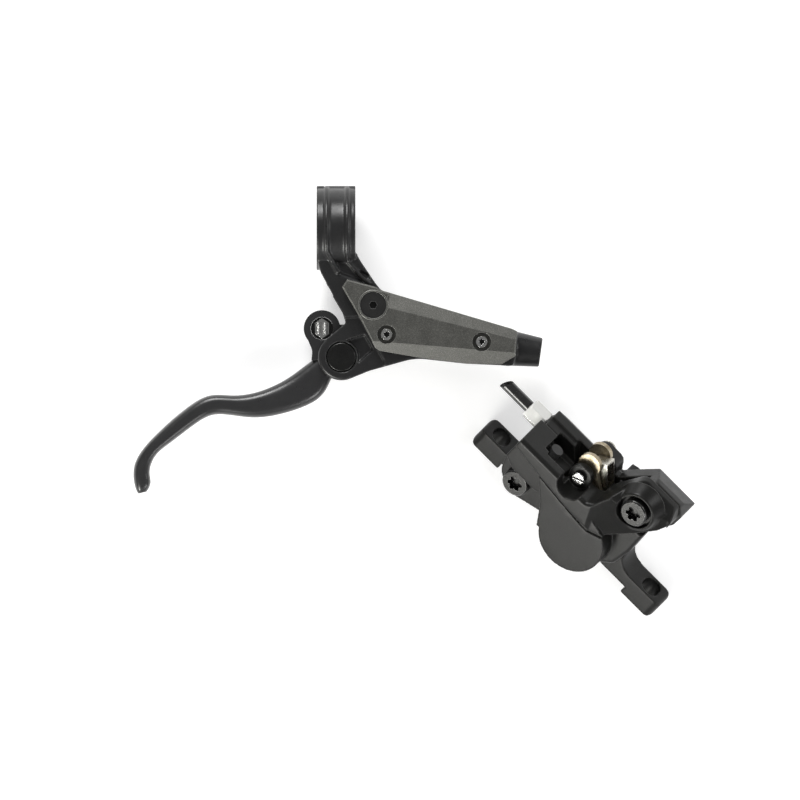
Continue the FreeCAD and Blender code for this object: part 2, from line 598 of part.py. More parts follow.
def along_u(start, end, v, n, radius):
    return rod(Vector(start, v, n), Vector(1, 0, 0), radius, end - start)


def drilled(start, end, radius):
    start, end = Vector(*start), Vector(*end)
    return rod(start, end - start, radius, (end - start).Length)


def lathe_u(profile, v, n):
    """Solid of revolution about a line along U, from (u, radius) pairs."""
    points = [Vector(u, v, n + radius) for u, radius in profile]
    face = Part.Face(Part.makePolygon(points + points[:1]))
    return face.revolve(Vector(0, v, n), Vector(1, 0, 0), 360)


# Rooms that both halves share: the disc's slot, the pads' pocket and window, and the pad axle's hole
disc_slot = rod(disc_centre - Vector(0, 0, rotor_slot_half), Vector(0, 0, 1), disc_radius + slot_clearance,
                2 * rotor_slot_half)
pad_pocket = in_pad_frame(prism([(-12.4, -40.0), (12.4, -40.0), (12.4, 7.0), (8.6, 12.8), (8.6, 34.0),
                                 (-7.6, 34.0), (-7.6, 12.8), (-12.4, 7.0)], -pad_room_half, pad_room_half))
window_right = prism([(-2.0, 12.2), (11.0, 14.6), (9.0, 30.0), (-4.0, 30.0)], -6.0, -0.6)
shared_rooms = [disc_slot, pad_pocket, window_right]

# Front half: the teardrop boss with its seam, the bar over it that turns into the shoulder round the second
# bolt, the first bolt's lug, and the recess for the nipple and the axle's head
drop_face = caliper_depth - 0.8
teardrop = prism([(-19.0, 6.9, 0.8), (-11.4, -1.8, 12.0), (-6.6, -10.4), (piston_u, piston_v), (17.2, -2.0), (11.8, 4.8)],
                 0, drop_face)
drop_round = upright(piston_u, piston_v, boss_radius, 0, drop_face)
bar_plan = [(body_left, body_top), (body_left, 8.9), (-19.0, 7.0), (3.3, 4.4), (7.2, 4.4, 3.0), (12.4, 6.6, 4.0),
            (19.2, 13.2, 4.0), (24.6, 19.6, 3.0), (26.6, 24.6, 2.0), (24.0, 28.4, 2.0), (8.4, 28.4, 4.0), (2.4, 15.0, 3.0),
            (0.0, body_top, 2.0)]
bar = prism(bar_plan, 0, caliper_depth)
bar_slope = bevel((11.0, -10.0), (-5.5, 34.0), -1, 24.0, caliper_depth, 9.6)
lug_end_slope = standing([(20.6, 13.4), (28.4, 2.8), (36.0, -6.0), (36.0, 22.0), (20.6, 22.0)], -6.0, 32.0)
bar_edge = edges_at(bar, lambda edge: edge.BoundBox.ZMin > caliper_depth - 1e-4 and
                    abs(edge.BoundBox.YMin - body_top) < 1e-4 and edge.BoundBox.YMax < body_top + 1e-4)
bar = bar.makeFillet(bar_rounding, bar_edge).cut([bar_slope, lug_end_slope])
shoulder_boss = Part.makeCone(9.4, 7.2, 5.6, Vector(bolt_two[0], bolt_two[1], bolt_two_seat - 3.0))
shoulder_boss = shoulder_boss.makeFillet(0.8, level_edges(shoulder_boss, bolt_two_seat + 2.6))
body_low = prism([(body_left, 10.0), (body_left, -2.5), (-27.0, -5.0), (-15.5, -5.0), (-8.0, 0.0), (4.0, 4.4), (-15.0, 9.0)],
                 0, 9.8)
lug_one = prism([(body_left, 2.0), (body_left, -8.0, 4.0), (-29.4, -14.6, 6.0), (-22.5, -19.6, 7.0), (-15.8, -17.4, 4.0),
                 (-9.0, -15.4), (0.0, -12.0), (-6.0, 2.0)], 0, bolt_one_seat)
# Skirt that covers the pads' trailing ends beside the boss
skirt = prism([(10.0, -14.6), (15.6, -10.8, 3.0), (21.8, -4.4, 3.0), (23.0, 4.0, 4.0), (22.6, 14.0), (10.0, 14.0)],
              0, skirt_height)
skirt = skirt.makeFillet(1.2, edges_at(skirt, lambda edge: edge.BoundBox.ZMin > skirt_height - 1e-4 and
                                       edge.BoundBox.XMax > 15.0))
front = joined([drop_round, bar, body_low, lug_one, shoulder_boss, skirt])
front = front.fuse(teardrop).removeSplitter()
seam_plan = [(body_left - 1, 9.1), (body_left - 1, 8.3), (-18.8, 6.4), (3.4, 3.8), (7.4, 3.8), (13.0, 6.1), (14.6, 7.8),
             (14.2, 8.4), (12.2, 6.8), (7.2, 4.5), (3.4, 4.5), (-18.8, 7.1)]
seam = prism(seam_plan, caliper_depth - 1.6, caliper_depth + 1)
recess_plan = [(-23.4, 20.0), (-23.4, 6.4, 0.6), (-11.5, 6.4), (axle_u, axle_v), (axle_u, 30.0)]
recess = prism(recess_plan, -2.5, recess_front - 1.6).fuse(
    prism([(-21.6, 20.0), (-21.6, 6.4, 0.6), (-11.5, 6.4), (axle_u, axle_v), (axle_u, 30.0)], -2.5, recess_front))
recess_end = upright(axle_u, axle_v, axle_boss_r, 8.6, caliper_depth + 1)
axle_boss = upright(axle_u, axle_v, axle_boss_r - 0.5, pad_room_half, 8.6)
# Shallow shelf along the joint of the halves, open at the hose end
shelf = Part.makeBox(20.5, 4.0, 5.6, Vector(body_left - 1, body_top - shelf_depth, -4.6))
front_clearance = [upright(bolt_one[0], bolt_one[1], body_bolt_r + body_bolt_play, -1, caliper_depth),
                   upright(bolt_two[0], bolt_two[1], body_bolt_r + body_bolt_play, -1, caliper_depth),
                   upright(bolt_two[0], bolt_two[1], body_head_r + 1.3, bolt_two_seat, caliper_depth),
                   upright(bolt_one[0], bolt_one[1], body_head_r + 0.6, bolt_one_seat, 12.0)]
axle_hole = upright(axle_u, axle_v, axle_radius, -caliper_depth, caliper_depth)
front_bore = upright(piston_u, piston_v, piston_radius + running_play, 0, cavity_end)
front_groove = upright(piston_u, piston_v, piston_radius + seal_depth, seal_start, seal_start + seal_height)
nipple_hole = rod(Vector(nipple_u, -2.0, nipple_n), Vector(0, 1, 0), nipple_r - 0.5, 12)
front_passage = [drilled((nipple_u, -0.5, nipple_n), (-3.5, -3.0, 12.6), 0.8),
                 drilled((transfer_u, transfer_v, -1.0), (transfer_u, transfer_v, 6.4), 0.9),
                 drilled((transfer_u - 0.4, transfer_v, 5.8), (nipple_u, -0.5, nipple_n), 0.8)]
front = without(front, [seam, recess, recess_end, shelf] + shared_rooms)
front = front.fuse(axle_boss.cut(shared_rooms)).removeSplitter()
caliper["caliper_front_half"] = without(front, front_clearance + front_passage +
                                        [axle_hole, front_bore, front_groove, nipple_hole])

# Mount half: the same bar and boss behind the disc, with the two slotted tabs and the hose port
half_mount = mount_spacing / 2
tab_low = tab_top - tab_thickness
neck_low_v = tab_top - neck_thickness
tab_far, tab_near = tab_middle - tab_width / 2, tab_middle + tab_width / 2
back_bar = prism([(mount_left, body_top), (mount_left, -16.5), (-10.0, -16.5), (6.0, -14.0), (18.0, -2.0), (20.0, 14.0),
                  (4.0, 14.0), (0.0, body_top)], -caliper_depth, 0)
rail_edge = -9.4
back_bevel = standing([(body_top + 0.01, rail_edge), (7.2, -caliper_depth - 0.01), (20.0, -caliper_depth - 1),
                       (20.0, rail_edge)], -60.0, 2.0)
left_bevel = along_r([(mount_left - 0.01, rail_edge), (-26.0, -caliper_depth - 0.01), (-36.0, -caliper_depth - 1),
                      (-36.0, rail_edge)], -40.0, 20.0)
back_round = upright(piston_u, piston_v, boss_radius, -caliper_depth, 0)
back_round = back_round.makeChamfer(1.5, level_edges(back_round, -caliper_depth))
back_lug_one = prism([(mount_left, 2.0), (body_left, -8.0, 4.0), (-29.4, -14.6, 6.0), (-22.5, -19.6, 7.0),
                      (-15.8, -17.4, 4.0), (-9.0, -15.4), (0.0, -12.0), (-6.0, 2.0)], -14.0, 0)
wing = prism([(6.0, 8.0), (18.0, 0.0), (22.4, 10.0, 6.0), (27.2, 20.2, 2.0), (27.4, 24.8, 1.6), (24.2, 28.4, 2.0),
              (12.6, 28.4, 2.0), (1.0, 12.4, 2.0), (-4.0, 8.0)], -wing_depth, 0)
wing = wing.cut(standing([(28.5, -0.4), (27.8, -3.6), (24.6, -wing_depth - 0.1), (36.0, -wing_depth - 1), (36.0, -0.4)],
                         -6.0, 32.0))
back_axle_boss = prism([(axle_u - 3.6, 8.0), (axle_u - 3.6, 16.6, 3.4), (-1.6, 16.6, 3.4), (2.2, 9.0)],
                       -back_boss_depth, -pad_room_half)
arm_left = prism([(-half_mount - tab_end, tab_low, 1.6), (-half_mount - tab_end, tab_top, 1.6), (mount_left, tab_top, 0.8),
                  (mount_left, -6.0), (-16.0, -6.0), (-12.0, -18.6, 3.0), (-18.0, neck_low_v, 3.0),
                  (-half_mount + tab_end - 0.6, neck_low_v), (-half_mount + tab_end, tab_low, 0.8)], tab_far, tab_near)
arm_right = prism([(half_mount + tab_end, tab_low, 1.6), (half_mount - tab_end, tab_low, 0.8),
                   (half_mount - tab_end + 0.6, neck_low_v), (18.0, neck_low_v, 4.0), (10.0, -14.0), (10.0, 2.0),
                   (22.0, 2.0), (22.6, -15.8 + 1.5, 6.0), (30.0, tab_top, 3.0), (half_mount + tab_end, tab_top, 1.6)],
                  tab_far, tab_near)
arms_plan = along_r([(-half_mount - tab_end, tab_near, tab_rounding), (-half_mount - tab_end, tab_far, tab_rounding),
                     (half_mount + tab_end, tab_far, tab_rounding), (half_mount + tab_end, tab_near, tab_rounding)],
                    -60.0, 30.0)
arm_left, arm_right = arm_left.common(arms_plan), arm_right.common(arms_plan)
back = joined([back_bar.cut([back_bevel, left_bevel]), back_round, back_lug_one, wing, arm_left, arm_right])
port_collar = along_u(mount_left - collar_reach, mount_left + 3, hose_v, hose_n, 4.1)
back = back.fuse([port_collar, back_axle_boss]).removeSplitter()


def tab_slot(u):
    ends = (slot_length - slot_width) / 2
    cutters = [rod(Vector(u, tab_low - 1, tab_middle + side), Vector(0, 1, 0), slot_width / 2, tab_thickness + 2)
               for side in (-ends, ends)]
    cutters.append(Part.makeBox(slot_width, tab_thickness + 2, 2 * ends,
                                Vector(u - slot_width / 2, tab_low - 1, tab_middle - ends)))
    return cutters


back_threads = [upright(bolt_one[0], bolt_one[1], body_bolt_r, -12.0, 1),
                upright(bolt_two[0], bolt_two[1], body_bolt_r, -10.5, 1)]
back_bore = upright(piston_u, piston_v, piston_radius + running_play, -cavity_end, 0)
back_groove = upright(piston_u, piston_v, piston_radius + seal_depth, -seal_start - seal_height, -seal_start)
port_end = mount_left + port_reach
hose_port = along_u(mount_left - 1, port_end, hose_v, hose_n, hose_thread_r)
back_passages = [along_u(port_end - 0.4, -19.0, hose_v, hose_n, 0.9),
                 drilled((-19.2, hose_v, hose_n), (-3.5, -2.0, -12.6), 0.8),
                 drilled((transfer_u, transfer_v, 0.5), (transfer_u, transfer_v, -3.6), 0.9),
                 drilled((transfer_u, transfer_v - 0.4, -3.4), (port_end + 0.8, hose_v, hose_n), 0.8)]
ring_groove = upright(transfer_u, transfer_v, 2.4, -1.0, 0.5)
back_recess = prism([(-23.4, 20.0), (-23.4, 6.4, 0.6), (-11.5, 6.4), (-11.0, 20.0)], -2.5, 1)
caliper["caliper_mount_half"] = without(back, shared_rooms + back_threads + back_passages + tab_slot(-half_mount) +
                                        tab_slot(half_mount) + [back_bore, back_groove, hose_port, ring_groove,
                                                                axle_hole, back_recess, shelf])
caliper["transfer_port_o_ring"] = tube(Vector(transfer_u, transfer_v, -1.0), Vector(0, 0, 1), 2.4, 1.2, 1.0)


def body_bolt(place, seat, head, tip):
    top = seat + head
    shape = upright(place[0], place[1], body_head_r, seat, top)
    shape = shape.makeChamfer(0.5, level_edges(shape, top))
    shape = shape.fuse(upright(place[0], place[1], body_bolt_r, tip, seat))
    return shape.cut(lobed_recess(place[0], place[1], 2.9, top - 2.6, top + 1))


caliper["caliper_body_bolts"] = Part.makeCompound([body_bolt(bolt_one, bolt_one_seat, bolt_one_head, -11.0),
                                                   body_bolt(bolt_two, bolt_two_seat, bolt_two_head, -9.6)])


def mirrored(shape):
    return shape.mirror(Vector(0, 0, 0), Vector(0, 0, 1))


# Pistons, seals and pads: one of each on either side of the disc
piston_cup = upright(piston_u, piston_v, piston_radius, piston_face, cavity_end - 1.0)
piston_cup = piston_cup.cut(upright(piston_u, piston_v, piston_radius - 2.6, piston_face - 1, cavity_end - 3.2))
seal_ring = tube(Vector(piston_u, piston_v, seal_start), Vector(0, 0, 1), piston_radius + seal_depth,
                 piston_radius + 0.02, seal_height)
ear_u, ear_v, ear_r = -8.4, 16.8, 4.2
plate_shape = in_pad_frame(prism([(-11.6, -8.6, 2.5), (11.6, -8.6, 2.5), (11.6, 5.6, 1.5), (7.0, 11.6, 1.5), (4.6, 22.6),
                                  (-3.4, 22.6), (-6.0, 11.6, 1.5), (-11.6, 5.6, 1.5)], plate_start, piston_face))
plate_shape = joined([plate_shape, upright(ear_u, ear_v, ear_r, plate_start, piston_face)])
plate_hole = upright(axle_u, axle_v, axle_radius + axle_play, -caliper_depth, caliper_depth)
plate_shape = plate_shape.cut(plate_hole)
lining_shape = in_pad_frame(prism([(-10.9, -8.0, 2.2), (10.9, -8.0, 2.2), (10.9, 5.0, 1.5), (7.4, 8.6, 1.5),
                                   (-7.4, 8.6, 1.5), (-10.9, 5.0, 1.5)], lining_start, plate_start))
lining_shape = lining_shape.cut(in_pad_frame(prism([(-0.5, -12.0), (0.5, -12.0), (0.5, 12.0), (-0.5, 12.0)],
                                                   lining_start - 1, lining_start + 1.2)))
for side in ("front", "rear"):
    turned = (lambda shape: shape) if side == "front" else mirrored
    caliper[side + "_piston"] = turned(piston_cup)
    caliper[side + "_piston_seal"] = turned(seal_ring)
    caliper[side + "_pad_plate"] = turned(plate_shape)
    caliper[side + "_pad_lining"] = turned(lining_shape)

# Pad spring: two wings between the plates, joined over the axle by a bridge
spring_sheet = 0.45
wing_out = 2.75
wing_plan = [(-6.4, 10.2, 1.0), (7.8, 10.2, 1.0), (7.8, 24.6), (-3.0, 24.6), (-6.4, 20.0, 1.0)]
wing_front = in_pad_frame(prism(wing_plan, wing_out - spring_sheet, wing_out))
bridge = in_pad_frame(prism([(2.0, 24.2), (7.8, 24.2), (7.8, 24.6 + spring_sheet), (2.0, 24.6 + spring_sheet)],
                            -wing_out, wing_out))
pad_spring = joined([wing_front, mirrored(wing_front), bridge])
caliper["pad_spring"] = pad_spring.cut(upright(axle_u, axle_v, axle_radius + 0.15, -caliper_depth, caliper_depth))

axle_tip = -14.8
axle_head_start = 8.6
pad_axle = upright(axle_u, axle_v, axle_radius, axle_tip, axle_head_start).fuse(
    upright(axle_u, axle_v, axle_head_r, axle_head_start, axle_head_start + 1.9))
pad_axle = pad_axle.makeFillet(0.4, level_edges(pad_axle, axle_head_start + 1.9))
screw_slot = Part.makeBox(2 * axle_head_r + 1, 0.8, 2, Vector(axle_u - axle_head_r - 0.5, axle_v - 0.4, axle_head_start + 1.0))
screw_slot.rotate(Vector(axle_u, axle_v, 0), Vector(0, 0, 1), 25)
axle_groove = tube(Vector(axle_u, axle_v, -14.2), Vector(0, 0, 1), axle_radius + 1, axle_radius - 0.4, 0.6)
caliper["pad_axle"] = pad_axle.cut([screw_slot, axle_groove])
axle_clip = tube(Vector(axle_u, axle_v, -14.2), Vector(0, 0, 1), axle_radius + 1.4, axle_radius - 0.4, 0.6)
caliper["pad_axle_clip"] = axle_clip.cut(Part.makeBox(1.6, 4, 2, Vector(axle_u - 0.8, axle_v - 4, -14.9)))

# Bleed nipple, upright in the recess, under its rubber cap
recess_floor = 6.4
nipple = rod(Vector(nipple_u, -1.6, nipple_n), Vector(0, 1, 0), nipple_r - 0.5, recess_floor + 1.6).fuse(
    rod(Vector(nipple_u, recess_floor, nipple_n), Vector(0, 1, 0), nipple_r, 2.6))
nipple = nipple.fuse(rod(Vector(nipple_u, recess_floor + 2.6, nipple_n), Vector(0, 1, 0), 1.5, 2.6))
caliper["bleed_nipple"] = nipple.cut(rod(Vector(nipple_u, -2, nipple_n), Vector(0, 1, 0), 0.6, 16)).removeSplitter()
cap_shape = rod(Vector(nipple_u, recess_floor + 2.6, nipple_n), Vector(0, 1, 0), 2.3, 3.6).cut(
    rod(Vector(nipple_u, recess_floor + 2.6, nipple_n), Vector(0, 1, 0), 1.5, 2.6))
caliper["bleed_nipple_cap"] = cap_shape

# Hose end: the nut presses the olive onto the hose, over the insert
nut_start = mount_left - collar_reach - nut_length
nut_hex = polygon_prism(0, 0, nut_flats, 6, 0, nut_length, 12.0)
nut_hex.Placement = Placement(Vector(nut_start, hose_v, hose_n), Rotation(Vector(0, 0, 1), Vector(1, 0, 0)))
nut_round = lathe_u([(nut_start, 0), (nut_start, 3.3), (nut_start + 0.9, 4.3), (nut_start + nut_length - 0.9, 4.3),
                     (nut_start + nut_length, 3.5), (nut_start + nut_length, 0)], hose_v, hose_n)
olive_start = mount_left + 2.2
olive_end = mount_left + 4.4
nut_thread = along_u(nut_start + nut_length, olive_start, hose_v, hose_n, hose_thread_r)
nut_bore = along_u(nut_start - 1, olive_end, hose_v, hose_n, hose_r)
caliper["hose_nut"] = nut_hex.common(nut_round).fuse(nut_thread).cut(nut_bore)
caliper["hose_olive"] = lathe_u([(olive_start, hose_r), (olive_start, hose_r + 0.5), (olive_start + 0.5, hose_thread_r - 0.1),
                                 (olive_end - 0.7, hose_thread_r - 0.1), (olive_end, hose_r + 0.4), (olive_end, hose_r)],
                                hose_v, hose_n)
hose_inner_end = olive_end + 0.6
hose_stub = along_u(hose_cut_u - 2, hose_inner_end, hose_v, hose_n, hose_r).cut(
    along_u(hose_cut_u - 3, hose_inner_end + 1, hose_v, hose_n, hose_bore_r))
cut_face = Part.makeBox(10, 20, 20, Vector(-10, -10, -10))
cut_face.Placement = Placement(Vector(hose_cut_u, hose_v, hose_n), Rotation(Vector(0.63, 0.78, 0), 0)).multiply(
    Placement(Vector(0, 0, 0), Rotation(Vector(0, 0, 1), -30)))
caliper["hose_stub"] = hose_stub.cut(cut_face)
caliper["hose_insert"] = lathe_u([(olive_start - 4, 0.7), (olive_start - 4, hose_bore_r), (hose_inner_end, hose_bore_r),
                                  (hose_inner_end, hose_r), (hose_inner_end + 0.7, hose_r), (hose_inner_end + 0.7, 0.7)],
                                 hose_v, hose_n)

caliper_placement = Placement(Vector(*caliper_place), Rotation(Vector(0, 0, 1), caliper_turn)).multiply(
    Placement(Vector(0, 0, 0), Rotation(Vector(1, 0, 0), caliper_tilt)))
for name, shape in caliper.items():
    placed = shape.copy()
    placed.Placement = caliper_placement.multiply(shape.Placement)
    nodes[name] = placed

os.makedirs("parts", exist_ok=True)
for name, shape in nodes.items():
    shape.exportStep("parts/" + name + ".step")
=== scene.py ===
import json
import math

import bmesh
import bpy
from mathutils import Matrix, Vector


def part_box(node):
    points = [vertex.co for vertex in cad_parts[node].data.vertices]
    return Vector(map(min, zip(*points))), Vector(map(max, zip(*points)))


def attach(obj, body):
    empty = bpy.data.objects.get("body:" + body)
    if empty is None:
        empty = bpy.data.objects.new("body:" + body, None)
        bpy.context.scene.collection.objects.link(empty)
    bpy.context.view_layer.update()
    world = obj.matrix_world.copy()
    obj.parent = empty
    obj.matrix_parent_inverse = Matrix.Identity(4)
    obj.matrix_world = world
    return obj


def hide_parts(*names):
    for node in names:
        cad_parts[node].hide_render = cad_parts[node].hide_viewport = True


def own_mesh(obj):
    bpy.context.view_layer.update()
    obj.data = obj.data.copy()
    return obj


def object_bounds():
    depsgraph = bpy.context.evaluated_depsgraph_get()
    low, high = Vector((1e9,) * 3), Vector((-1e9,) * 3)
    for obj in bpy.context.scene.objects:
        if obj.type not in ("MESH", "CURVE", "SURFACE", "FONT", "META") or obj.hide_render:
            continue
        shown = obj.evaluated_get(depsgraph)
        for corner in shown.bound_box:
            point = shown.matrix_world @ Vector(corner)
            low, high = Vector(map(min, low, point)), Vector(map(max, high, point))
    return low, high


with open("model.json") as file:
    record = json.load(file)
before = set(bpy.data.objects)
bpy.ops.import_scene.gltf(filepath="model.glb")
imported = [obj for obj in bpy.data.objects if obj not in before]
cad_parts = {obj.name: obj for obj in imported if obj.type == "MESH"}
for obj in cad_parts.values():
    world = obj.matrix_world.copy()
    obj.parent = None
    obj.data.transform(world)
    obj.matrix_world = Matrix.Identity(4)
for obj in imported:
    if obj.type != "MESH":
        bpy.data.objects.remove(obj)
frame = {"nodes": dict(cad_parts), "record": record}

# Hydraulic disc brake, lever unit and caliper: finishes, rounded castings, small trim and the studio
nodes = frame["nodes"]
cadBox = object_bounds()
mm = 0.001
print("frame loaded with", len(nodes), "pieces")


# Small helpers for node trees
def addNode(tree, kind, **values):
    node = tree.nodes.new(kind)
    for key, value in values.items():
        setattr(node, key, value)
    return node


def setInputs(node, **values):
    for key, value in values.items():
        node.inputs[key.replace("_", " ")].default_value = value


# What every finish shares, and what a finish gets where its own settings leave it out
sharedLook = {
    "noiseRoughness": 0.6, "grainDetail": 2.0, "patchDetail": 3.0, "patchRange": (0.42, 0.68),
    "cloudSize": 4 * mm, "cloudRange": (0.3, 0.7),
    "edgeSamples": 6, "edgeHighlightRange": (0.998, 0.93), "edgeHighlightShare": 0.6, "coatRoughness": 0.2,
}
plainLook = {
    "grainRange": (0.4, 0.7), "bump": 0.15, "bumpDepth": 0.03 * mm,
    "metallic": 0.0, "specular": 0.5, "coat": 0.0,
}


# Noise of one grain size, stretched between two levels
def grainMask(tree, place, size, levels, detail):
    noise = addNode(tree, "ShaderNodeTexNoise")
    setInputs(noise, Scale=1.0 / size, Detail=detail, Roughness=sharedLook["noiseRoughness"])
    tree.links.new(place, noise.inputs["Vector"])
    stretch = addNode(tree, "ShaderNodeMapRange")
    setInputs(stretch, From_Min=levels[0], From_Max=levels[1])
    tree.links.new(noise.outputs["Fac"], stretch.inputs["Value"])
    return stretch.outputs["Result"]


# Colours may be plain values or the output of another node
def mixColours(tree, mask, first, second):
    mix = addNode(tree, "ShaderNodeMix", data_type="RGBA")
    tree.links.new(mask, mix.inputs["Factor"])
    for socket, value in ((mix.inputs["A"], first), (mix.inputs["B"], second)):
        if isinstance(value, tuple):
            socket.default_value = (*value, 1.0)
        else:
            tree.links.new(value, socket)
    return mix.outputs["Result"]


# One finish from its settings: grain in the colour, cloudy roughness, fine bump, rounded edges and a painted
# highlight along the edges
def makeFinish(name, settings):
    look = {**plainLook, **settings}
    material = bpy.data.materials.new(name)
    material.use_nodes = True
    tree = material.node_tree
    shader = tree.nodes["Principled BSDF"]
    place = addNode(tree, "ShaderNodeTexCoord").outputs["Object"]

    grain = grainMask(tree, place, look["grainSize"], look["grainRange"], sharedLook["grainDetail"])
    colour = mixColours(tree, grain, look["colour"], look["grainColour"])
    if "patchColour" in look:
        patch = grainMask(tree, place, look["patchSize"], sharedLook["patchRange"], sharedLook["patchDetail"])
        colour = mixColours(tree, patch, colour, look["patchColour"])

    cloud = grainMask(tree, place, sharedLook["cloudSize"], sharedLook["cloudRange"], sharedLook["grainDetail"])
    rough = addNode(tree, "ShaderNodeMapRange")
    setInputs(rough, To_Min=look["roughness"][0], To_Max=look["roughness"][1])
    tree.links.new(cloud, rough.inputs["Value"])
    tree.links.new(rough.outputs["Result"], shader.inputs["Roughness"])

    bump = addNode(tree, "ShaderNodeBump")
    setInputs(bump, Strength=look["bump"], Distance=look["bumpDepth"])
    tree.links.new(grain, bump.inputs["Height"])
    if "edgeRadius" in look:
        soft = addNode(tree, "ShaderNodeBevel", samples=sharedLook["edgeSamples"])
        setInputs(soft, Radius=look["edgeRadius"])
        tree.links.new(soft.outputs["Normal"], bump.inputs["Normal"])
        facing = addNode(tree, "ShaderNodeNewGeometry").outputs["Normal"]
        match = addNode(tree, "ShaderNodeVectorMath", operation="DOT_PRODUCT")
        tree.links.new(soft.outputs["Normal"], match.inputs[0])
        tree.links.new(facing, match.inputs[1])
        # Painted highlight: where the rounded normal turns from the face's own normal, the colour is mixed toward
        # the lighter edge colour
        edgeHighlight = addNode(tree, "ShaderNodeMapRange")
        flat, sharp = sharedLook["edgeHighlightRange"]
        setInputs(edgeHighlight, From_Min=flat, From_Max=sharp, To_Max=sharedLook["edgeHighlightShare"])
        tree.links.new(match.outputs["Value"], edgeHighlight.inputs["Value"])
        colour = mixColours(tree, edgeHighlight.outputs["Result"], colour, look["edgeHighlightColour"])
    tree.links.new(bump.outputs["Normal"], shader.inputs["Normal"])
    tree.links.new(colour, shader.inputs["Base Color"])
    setInputs(shader, Metallic=look["metallic"], Specular_IOR_Level=look["specular"],
              Coat_Weight=look["coat"], Coat_Roughness=sharedLook["coatRoughness"])
    return material
